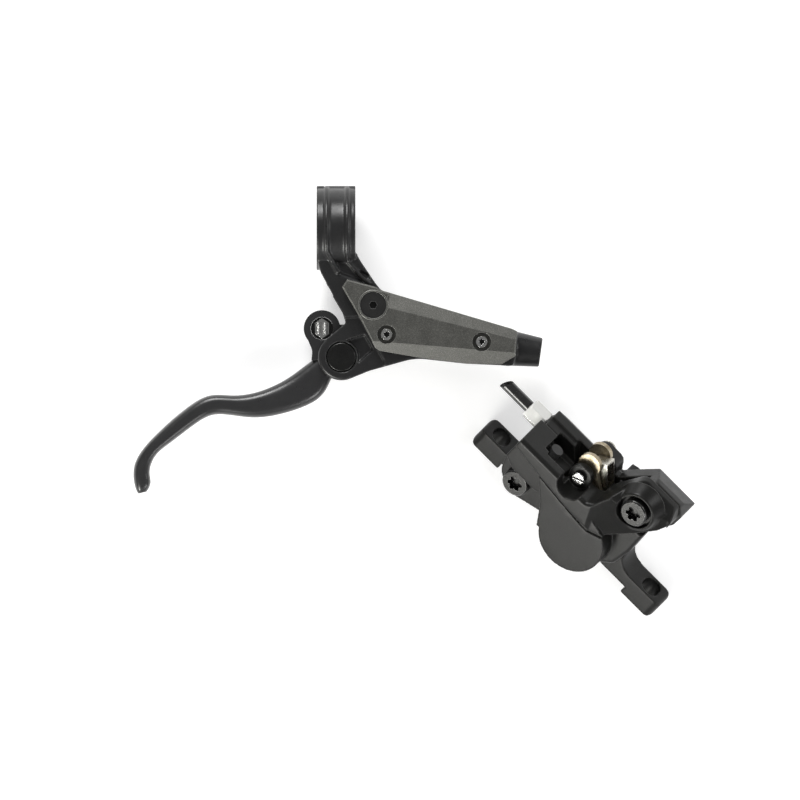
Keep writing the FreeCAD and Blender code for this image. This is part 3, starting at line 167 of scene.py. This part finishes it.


# Finishes, one settings dict each, named as the record's material slots, and two extra ones:
# axle_chrome for the pad axle and socket_shade, painted shade in the sockets of the cover's screws
# The lighter edge colour of each finish is a painted highlight along its edges
finishes = {
    "black_paint": {
        "colour": (0.0085, 0.0085, 0.0088), "grainColour": (0.016, 0.016, 0.0165), "grainSize": 0.22 * mm,
        "roughness": (0.27, 0.37), "specular": 0.4, "edgeRadius": 0.5 * mm, "edgeHighlightColour": (0.14, 0.14, 0.138),
        "bump": 0.18,
    },
    "caliper_paint": {
        "colour": (0.0065, 0.0065, 0.0062), "grainColour": (0.013, 0.013, 0.012), "grainSize": 0.25 * mm,
        "roughness": (0.28, 0.38), "specular": 0.17, "edgeRadius": 0.5 * mm, "edgeHighlightColour": (0.14, 0.14, 0.134),
        "bump": 0.2,
    },
    "blade_paint": {
        "colour": (0.0125, 0.0125, 0.013), "grainColour": (0.021, 0.021, 0.022), "grainSize": 0.2 * mm,
        "roughness": (0.27, 0.34), "specular": 0.55, "edgeRadius": 0.3 * mm, "edgeHighlightColour": (0.03, 0.03, 0.03),
        "bump": 0.12,
    },
    "grey_satin": {
        "colour": (0.1, 0.1, 0.092), "grainColour": (0.19, 0.187, 0.174), "grainSize": 0.28 * mm,
        "grainRange": (0.45, 0.75), "roughness": (0.36, 0.46), "metallic": 0.8,
        "edgeRadius": 0.2 * mm, "edgeHighlightColour": (0.42, 0.42, 0.4), "bump": 0.22,
    },
    "grey_metal": {
        "colour": (0.16, 0.16, 0.16), "grainColour": (0.24, 0.24, 0.24), "grainSize": 0.2 * mm,
        "roughness": (0.35, 0.5), "metallic": 0.9, "edgeRadius": 0.15 * mm, "edgeHighlightColour": (0.5, 0.5, 0.5),
    },
    "plain_steel": {
        "colour": (0.46, 0.46, 0.45), "grainColour": (0.58, 0.58, 0.57), "grainSize": 0.15 * mm,
        "roughness": (0.2, 0.34), "metallic": 1.0, "edgeRadius": 0.12 * mm, "edgeHighlightColour": (0.75, 0.75, 0.75),
    },
    "black_steel": {
        "colour": (0.02, 0.02, 0.02), "grainColour": (0.036, 0.036, 0.035), "grainSize": 0.18 * mm,
        "roughness": (0.25, 0.36), "metallic": 0.85, "edgeRadius": 0.25 * mm, "edgeHighlightColour": (0.4, 0.4, 0.39),
    },
    "axle_chrome": {
        "colour": (0.34, 0.34, 0.335), "grainColour": (0.4, 0.4, 0.395), "grainSize": 0.15 * mm,
        "roughness": (0.1, 0.17), "metallic": 1.0, "edgeRadius": 0.2 * mm, "edgeHighlightColour": (0.8, 0.8, 0.8),
    },
    "socket_shade": {
        "colour": (0.02, 0.02, 0.02), "grainColour": (0.04, 0.04, 0.04), "grainSize": 0.15 * mm,
        "roughness": (0.35, 0.5), "metallic": 0.6,
    },
    "bright_steel": {
        "colour": (0.86, 0.86, 0.83), "grainColour": (0.92, 0.92, 0.9), "grainSize": 0.3 * mm,
        "roughness": (0.16, 0.26), "metallic": 0.45, "edgeRadius": 0.12 * mm, "edgeHighlightColour": (0.95, 0.95, 0.93),
        "bump": 0.05,
    },
    "spring_steel": {
        "colour": (0.5, 0.49, 0.44), "grainColour": (0.62, 0.6, 0.55), "grainSize": 0.2 * mm,
        "roughness": (0.22, 0.34), "metallic": 1.0, "edgeRadius": 0.1 * mm, "edgeHighlightColour": (0.85, 0.83, 0.75),
    },
    "pad_steel": {
        "colour": (0.36, 0.31, 0.22), "grainColour": (0.47, 0.42, 0.32), "grainSize": 0.3 * mm,
        "roughness": (0.3, 0.45), "metallic": 0.9, "edgeRadius": 0.12 * mm, "edgeHighlightColour": (0.8, 0.76, 0.65),
        "patchColour": (0.2, 0.16, 0.1), "patchSize": 2.5 * mm,
    },
    "piston_alloy": {
        "colour": (0.5, 0.5, 0.5), "grainColour": (0.6, 0.6, 0.6), "grainSize": 0.2 * mm,
        "roughness": (0.25, 0.35), "metallic": 1.0,
    },
    "brass": {
        "colour": (0.6, 0.44, 0.18), "grainColour": (0.7, 0.53, 0.24), "grainSize": 0.2 * mm,
        "roughness": (0.25, 0.38), "metallic": 1.0,
    },
    "rubber": {
        "colour": (0.012, 0.012, 0.012), "grainColour": (0.02, 0.02, 0.02), "grainSize": 0.2 * mm,
        "roughness": (0.55, 0.7), "bump": 0.3,
    },
    "black_plastic": {
        "colour": (0.008, 0.008, 0.008), "grainColour": (0.014, 0.014, 0.014), "grainSize": 0.3 * mm,
        "roughness": (0.3, 0.42), "specular": 0.35, "edgeRadius": 0.2 * mm, "edgeHighlightColour": (0.16, 0.16, 0.16),
    },
    "bush_plastic": {
        "colour": (0.25, 0.25, 0.23), "grainColour": (0.32, 0.32, 0.3), "grainSize": 0.3 * mm,
        "roughness": (0.4, 0.5),
    },
    "piston_plastic": {
        "colour": (0.22, 0.11, 0.06), "grainColour": (0.3, 0.17, 0.1), "grainSize": 0.5 * mm,
        "roughness": (0.35, 0.5),
    },
    "lining": {
        "colour": (0.09, 0.08, 0.07), "grainColour": (0.3, 0.24, 0.17), "grainSize": 0.5 * mm,
        "grainRange": (0.5, 0.75), "roughness": (0.7, 0.85), "bump": 0.5, "bumpDepth": 0.1 * mm,
    },
    "hose_black": {
        "colour": (0.008, 0.008, 0.008), "grainColour": (0.014, 0.014, 0.014), "grainSize": 0.4 * mm,
        "roughness": (0.2, 0.3), "coat": 0.2,
    },
}
materials = {name: makeFinish(name, look) for name, look in finishes.items()}
print("finishes made:", len(materials))


slots = {part["node"]: part["material_slot"] for part in frame["record"]["subparts"]}


# Every solid takes the finish of its slot
def dressNodes():
    for name, slot in slots.items():
        piece = nodes[name]
        piece.data.materials.clear()
        piece.data.materials.append(materials[slot])
        for face in piece.data.polygons:
            face.material_index = 0


# The cross barrel is black, with a bright rib face on top
barrelLook = {"node": "push_rod_barrel", "side": "black_steel", "face": "plain_steel", "faceDepth": 0.05 * mm}


def dressBarrel():
    piece = nodes[barrelLook["node"]]
    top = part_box(barrelLook["node"])[1].z
    piece.data.materials.clear()
    for slot in ("side", "face"):
        piece.data.materials.append(materials[barrelLook[slot]])
    for face in piece.data.polygons:
        face.material_index = 1 if face.center.z > top - barrelLook["faceDepth"] else 0


# Painted shade: the sockets of the cover's screws are coloured dark inside
socketLook = {
    "node": "cover_screws", "finish": "socket_shade", "places": ((17.7 * mm, -36.9 * mm), (51.0 * mm, -39.5 * mm)),
    "radius": 1.25 * mm, "floor": 11.3 * mm, "rim": 12.65 * mm,
}


def dressSockets():
    piece = nodes[socketLook["node"]]
    piece.data.materials.append(materials[socketLook["finish"]])
    for face in piece.data.polygons:
        away = min(math.hypot(face.center.x - x, face.center.y - y) for x, y in socketLook["places"])
        inside = away < socketLook["radius"] and socketLook["floor"] < face.center.z < socketLook["rim"]
        face.material_index = 1 if inside else 0


dressNodes()
dressBarrel()
dressSockets()
nodes["pad_axle"].data.materials[0] = materials["axle_chrome"]  # its slotted end is polished
print("solids dressed")


# Forged and cast pieces: a closed copy with rounded edges stands for each sharp solid
castings = {
    "lever_bracket": {"body": "fixed_set", "voxel": 0.34 * mm, "smoothing": 3, "kept": 0.5},
    "clamp_band": {"body": "fixed_set", "voxel": 0.32 * mm, "smoothing": 3, "kept": 0.6},
    "caliper_front_half": {"body": "fixed_set", "voxel": 0.27 * mm, "smoothing": 3, "kept": 0.4},
    "caliper_mount_half": {"body": "fixed_set", "voxel": 0.34 * mm, "smoothing": 3, "kept": 0.5},
}
weldDistance = 0.001 * mm  # joins the loose triangles of a CAD mesh


# The piece's mesh with its modifiers applied
def asMesh(piece, name):
    graph = bpy.context.evaluated_depsgraph_get()
    mesh = bpy.data.meshes.new_from_object(piece.evaluated_get(graph))
    mesh.name = name
    return mesh


def makeCasting(name, cast):
    shell = bmesh.new()
    shell.from_mesh(nodes[name].data)
    bmesh.ops.remove_doubles(shell, verts=shell.verts, dist=weldDistance)
    mesh = bpy.data.meshes.new(name + "_cast")
    shell.to_mesh(mesh)
    shell.free()
    piece = bpy.data.objects.new(name + "_cast", mesh)
    bpy.context.scene.collection.objects.link(piece)
    remesh = piece.modifiers.new("remesh", "REMESH")
    remesh.mode = "VOXEL"
    remesh.voxel_size = cast["voxel"]
    smooth = piece.modifiers.new("smooth", "SMOOTH")
    smooth.iterations = cast["smoothing"]
    thin = piece.modifiers.new("thin", "DECIMATE")
    thin.ratio = cast["kept"]
    piece.data = asMesh(piece, name + "_cast")
    piece.modifiers.clear()
    piece.data.materials.clear()
    piece.data.materials.append(materials[slots[name]])
    for face in piece.data.polygons:
        face.use_smooth = True
        face.material_index = 0
    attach(piece, cast["body"])
    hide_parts(name)
    return len(piece.data.polygons)


for name, cast in castings.items():
    print("casting", name, makeCasting(name, cast), "faces")


# Half-round ribs on the face of the cross barrel
barrelRibs = {
    "body": "push_rod_set", "slot": "plain_steel", "centre": (-4.9 * mm, -34.8 * mm, 1.8 * mm),
    "columns": 2, "columnSpacing": 2.3 * mm, "rows": 10, "rowSpacing": 0.42 * mm,
    "ribRadius": 0.12 * mm, "ribLength": 1.9 * mm, "ribSides": 10,
}


# Node group with named inputs and one geometry output
def newTree(name, inputs):
    tree = bpy.data.node_groups.new(name, "GeometryNodeTree")
    for label, kind in inputs:
        tree.interface.new_socket(name=label, in_out="INPUT", socket_type=kind)
    tree.interface.new_socket(name="Geometry", in_out="OUTPUT", socket_type="NodeSocketGeometry")
    return tree, addNode(tree, "NodeGroupInput"), addNode(tree, "NodeGroupOutput")


# Both trees end alike: the shape is put in its place, made real and painted
def closeTree(tree, given, out, shape, place):
    link = tree.links.new
    move = addNode(tree, "GeometryNodeTransform")
    link(shape, move.inputs["Geometry"])
    link(given.outputs[place], move.inputs["Translation"])
    real = addNode(tree, "GeometryNodeRealizeInstances")
    link(move.outputs["Geometry"], real.inputs["Geometry"])
    paint = addNode(tree, "GeometryNodeSetMaterial")
    link(real.outputs["Geometry"], paint.inputs["Geometry"])
    link(given.outputs["Material"], paint.inputs["Material"])
    link(paint.outputs["Geometry"], out.inputs["Geometry"])
    return move


def ribTree():
    tree, given, out = newTree("rib_rows", [
        ("Columns", "NodeSocketInt"), ("Column Spacing", "NodeSocketFloat"), ("Rows", "NodeSocketInt"),
        ("Row Spacing", "NodeSocketFloat"), ("Rib Radius", "NodeSocketFloat"), ("Rib Length", "NodeSocketFloat"),
        ("Centre", "NodeSocketVector"), ("Material", "NodeSocketMaterial")])
    link = tree.links.new

    # Distance from the first to the last of a row
    def span(count, spacing):
        less = addNode(tree, "ShaderNodeMath", operation="SUBTRACT")
        less.inputs[1].default_value = 1.0
        link(given.outputs[count], less.inputs[0])
        times = addNode(tree, "ShaderNodeMath", operation="MULTIPLY")
        link(less.outputs[0], times.inputs[0])
        link(given.outputs[spacing], times.inputs[1])
        return times.outputs[0]

    grid = addNode(tree, "GeometryNodeMeshGrid")
    link(span("Columns", "Column Spacing"), grid.inputs["Size X"])
    link(span("Rows", "Row Spacing"), grid.inputs["Size Y"])
    link(given.outputs["Columns"], grid.inputs["Vertices X"])
    link(given.outputs["Rows"], grid.inputs["Vertices Y"])
    rib = addNode(tree, "GeometryNodeMeshCylinder")
    rib.inputs["Vertices"].default_value = barrelRibs["ribSides"]
    link(given.outputs["Rib Radius"], rib.inputs["Radius"])
    link(given.outputs["Rib Length"], rib.inputs["Depth"])
    rows = addNode(tree, "GeometryNodeInstanceOnPoints")
    link(grid.outputs["Mesh"], rows.inputs["Points"])
    link(rib.outputs["Mesh"], rows.inputs["Instance"])
    rows.inputs["Rotation"].default_value = (0.0, math.pi / 2, 0.0)  # a cylinder stands on z, a rib lies on x
    closeTree(tree, given, out, rows.outputs["Instances"], "Centre")
    return tree


# Runs a node tree with its inputs set by identifier and keeps the plain mesh
def growPiece(name, tree, values):
    piece = bpy.data.objects.new(name, bpy.data.meshes.new(name))
    bpy.context.scene.collection.objects.link(piece)
    grow = piece.modifiers.new("grow", "NODES")
    grow.node_group = tree
    for item in tree.interface.items_tree:
        if item.in_out == "INPUT":
            grow[item.identifier] = values[item.name]
    piece.data = asMesh(piece, name)
    piece.modifiers.clear()
    return piece


# Four-sided faces are the round sides, the end caps stay flat
def smoothSides(piece):
    for face in piece.data.polygons:
        face.use_smooth = len(face.vertices) == 4


def makeBarrelRibs():
    ribs = growPiece("barrel_ribs", ribTree(), {
        "Columns": barrelRibs["columns"], "Column Spacing": barrelRibs["columnSpacing"],
        "Rows": barrelRibs["rows"], "Row Spacing": barrelRibs["rowSpacing"],
        "Rib Radius": barrelRibs["ribRadius"], "Rib Length": barrelRibs["ribLength"],
        "Centre": barrelRibs["centre"], "Material": materials[barrelRibs["slot"]]})
    smoothSides(ribs)
    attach(ribs, barrelRibs["body"])


makeBarrelRibs()
print("barrel ribs grown")


# Return spring: a coil on the bore's axis
returnSpring = {
    "node": "return_spring", "body": "fixed_set", "joint": "master_piston_slide", "slot": "spring_steel",
    "mouth": (9.016 * mm, -34.39 * mm, -3.0 * mm), "angle": -8.0, "start": 27.45 * mm, "boreEnd": 46.0 * mm,
    "length": 18.1 * mm, "radius": 3.7 * mm, "wireRadius": 0.45 * mm, "turns": 5.0, "kept": 0.825,
    "turnSteps": 28, "wireSides": 12,
}


def coilTree():
    tree, given, out = newTree("coil", [
        ("Turns", "NodeSocketFloat"), ("Radius", "NodeSocketFloat"), ("Length", "NodeSocketFloat"),
        ("Wire Radius", "NodeSocketFloat"), ("Angle", "NodeSocketVector"), ("Start", "NodeSocketVector"),
        ("Material", "NodeSocketMaterial")])
    link = tree.links.new
    coil = addNode(tree, "GeometryNodeCurveSpiral")
    coil.inputs["Resolution"].default_value = returnSpring["turnSteps"]
    link(given.outputs["Turns"], coil.inputs["Rotations"])
    link(given.outputs["Radius"], coil.inputs["Start Radius"])
    link(given.outputs["Radius"], coil.inputs["End Radius"])
    link(given.outputs["Length"], coil.inputs["Height"])
    wire = addNode(tree, "GeometryNodeCurvePrimitiveCircle")
    wire.inputs["Resolution"].default_value = returnSpring["wireSides"]
    link(given.outputs["Wire Radius"], wire.inputs["Radius"])
    skin = addNode(tree, "GeometryNodeCurveToMesh")
    skin.inputs["Fill Caps"].default_value = True
    link(coil.outputs["Curve"], skin.inputs["Curve"])
    link(wire.outputs["Curve"], skin.inputs["Profile Curve"])
    move = closeTree(tree, given, out, skin.outputs["Mesh"], "Start")
    link(given.outputs["Angle"], move.inputs["Rotation"])
    return tree


def makeReturnSpring():
    coil = returnSpring
    turn = math.radians(coil["angle"])
    axis = Vector((math.cos(turn), math.sin(turn), 0.0))
    mouth = Vector(coil["mouth"])
    spring = growPiece("return_spring_coil", coilTree(), {
        "Turns": coil["turns"], "Radius": coil["radius"], "Length": coil["length"],
        "Wire Radius": coil["wireRadius"], "Angle": (0.0, math.pi / 2, turn),
        "Start": tuple(mouth + axis * coil["start"]), "Material": materials[coil["slot"]]})
    smoothSides(spring)
    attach(spring, coil["body"])
    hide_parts(coil["node"])
    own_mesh(spring)


makeReturnSpring()
print("return spring coiled")


# Studio: white floor and backdrop as the camera and the metal see them, soft lamps round the object
studio = {
    "floorDrop": 0.1 * mm, "floorHalf": 2.5, "floorColour": (0.62, 0.62, 0.62), "floorGlow": 0.52,
    "worldLevel": 0.26,
    "lamps": {
        "backLamp": {"place": (-0.15, 0.75, 0.5), "size": 0.4, "power": 9.0},
        "frontLamp": {"place": (-0.3, -0.75, 0.4), "size": 0.4, "power": 2.2},
        "lowLamp": {"place": (-0.44, -0.6, 0.38), "size": 0.25, "power": 4.4, "tint": (1.0, 0.99, 0.94)},
        "edgeLamp": {"place": (0.48, -0.66, 0.42), "size": 0.3, "power": 2.2},
        "sideLamp": {"place": (0.7, 0.1, 0.45), "size": 0.35, "power": 1.8},
    },
}
view = {"centre": (22.4 * mm, -59.85 * mm), "width": 280 * mm, "height": 0.6}


# 1 for what the camera, a mirror or a glass ray sees, 0 for light that bounces on
def seenDirectly(tree):
    rays = addNode(tree, "ShaderNodeLightPath")
    total = rays.outputs["Is Camera Ray"]
    for name in ("Is Glossy Ray", "Is Transmission Ray"):
        step = addNode(tree, "ShaderNodeMath", operation="MAXIMUM")
        tree.links.new(total, step.inputs[0])
        tree.links.new(rays.outputs[name], step.inputs[1])
        total = step.outputs[0]
    return total


def makeFloor():
    low = cadBox[0][2] - studio["floorDrop"]
    half = studio["floorHalf"]
    mesh = bpy.data.meshes.new("floor")
    corners = [(-half, -half, low), (half, -half, low), (half, half, low), (-half, half, low)]
    mesh.from_pydata(corners, [], [(0, 1, 2, 3)])
    floor = bpy.data.objects.new("floor", mesh)
    bpy.context.scene.collection.objects.link(floor)
    material = bpy.data.materials.new("floor_white")
    material.use_nodes = True
    tree = material.node_tree
    tree.nodes.clear()
    matte = addNode(tree, "ShaderNodeBsdfDiffuse")
    matte.inputs["Color"].default_value = (*studio["floorColour"], 1.0)
    glow = addNode(tree, "ShaderNodeEmission")
    setInputs(glow, Strength=studio["floorGlow"])
    both = addNode(tree, "ShaderNodeAddShader")
    tree.links.new(matte.outputs[0], both.inputs[0])
    tree.links.new(glow.outputs[0], both.inputs[1])
    pick = addNode(tree, "ShaderNodeMixShader")
    tree.links.new(seenDirectly(tree), pick.inputs[0])
    tree.links.new(matte.outputs[0], pick.inputs[1])
    tree.links.new(both.outputs[0], pick.inputs[2])
    out = addNode(tree, "ShaderNodeOutputMaterial")
    tree.links.new(pick.outputs[0], out.inputs["Surface"])
    mesh.materials.append(material)


def makeWorld():
    world = bpy.data.worlds.new("studio")
    bpy.context.scene.world = world
    world.use_nodes = True
    tree = world.node_tree
    sky = tree.nodes["Background"]
    sky.inputs["Color"].default_value = (1.0, 1.0, 1.0, 1.0)
    level = addNode(tree, "ShaderNodeMapRange")
    setInputs(level, To_Min=studio["worldLevel"], To_Max=1.0)
    tree.links.new(addNode(tree, "ShaderNodeLightPath").outputs["Is Camera Ray"], level.inputs["Value"])
    tree.links.new(level.outputs["Result"], sky.inputs["Strength"])


def makeLamps():
    aim = Vector((*view["centre"], 0.0))
    for name, lamp in studio["lamps"].items():
        data = bpy.data.lights.new(name, "AREA")
        data.size = lamp["size"]
        data.energy = lamp["power"]
        data.color = lamp.get("tint", (1.0, 1.0, 1.0))
        light = bpy.data.objects.new(name, data)
        light.location = lamp["place"]
        light.rotation_euler = (aim - light.location).to_track_quat("-Z", "Y").to_euler()
        bpy.context.scene.collection.objects.link(light)


def makeCamera():
    data = bpy.data.cameras.new("camera")
    data.type = "ORTHO"
    data.ortho_scale = view["width"]
    camera = bpy.data.objects.new("camera", data)
    camera.location = (*view["centre"], view["height"])
    bpy.context.scene.collection.objects.link(camera)
    bpy.context.scene.camera = camera


bpy.context.scene.view_settings.view_transform = "Standard"
makeFloor()
makeWorld()
makeLamps()
makeCamera()
print("studio ready")
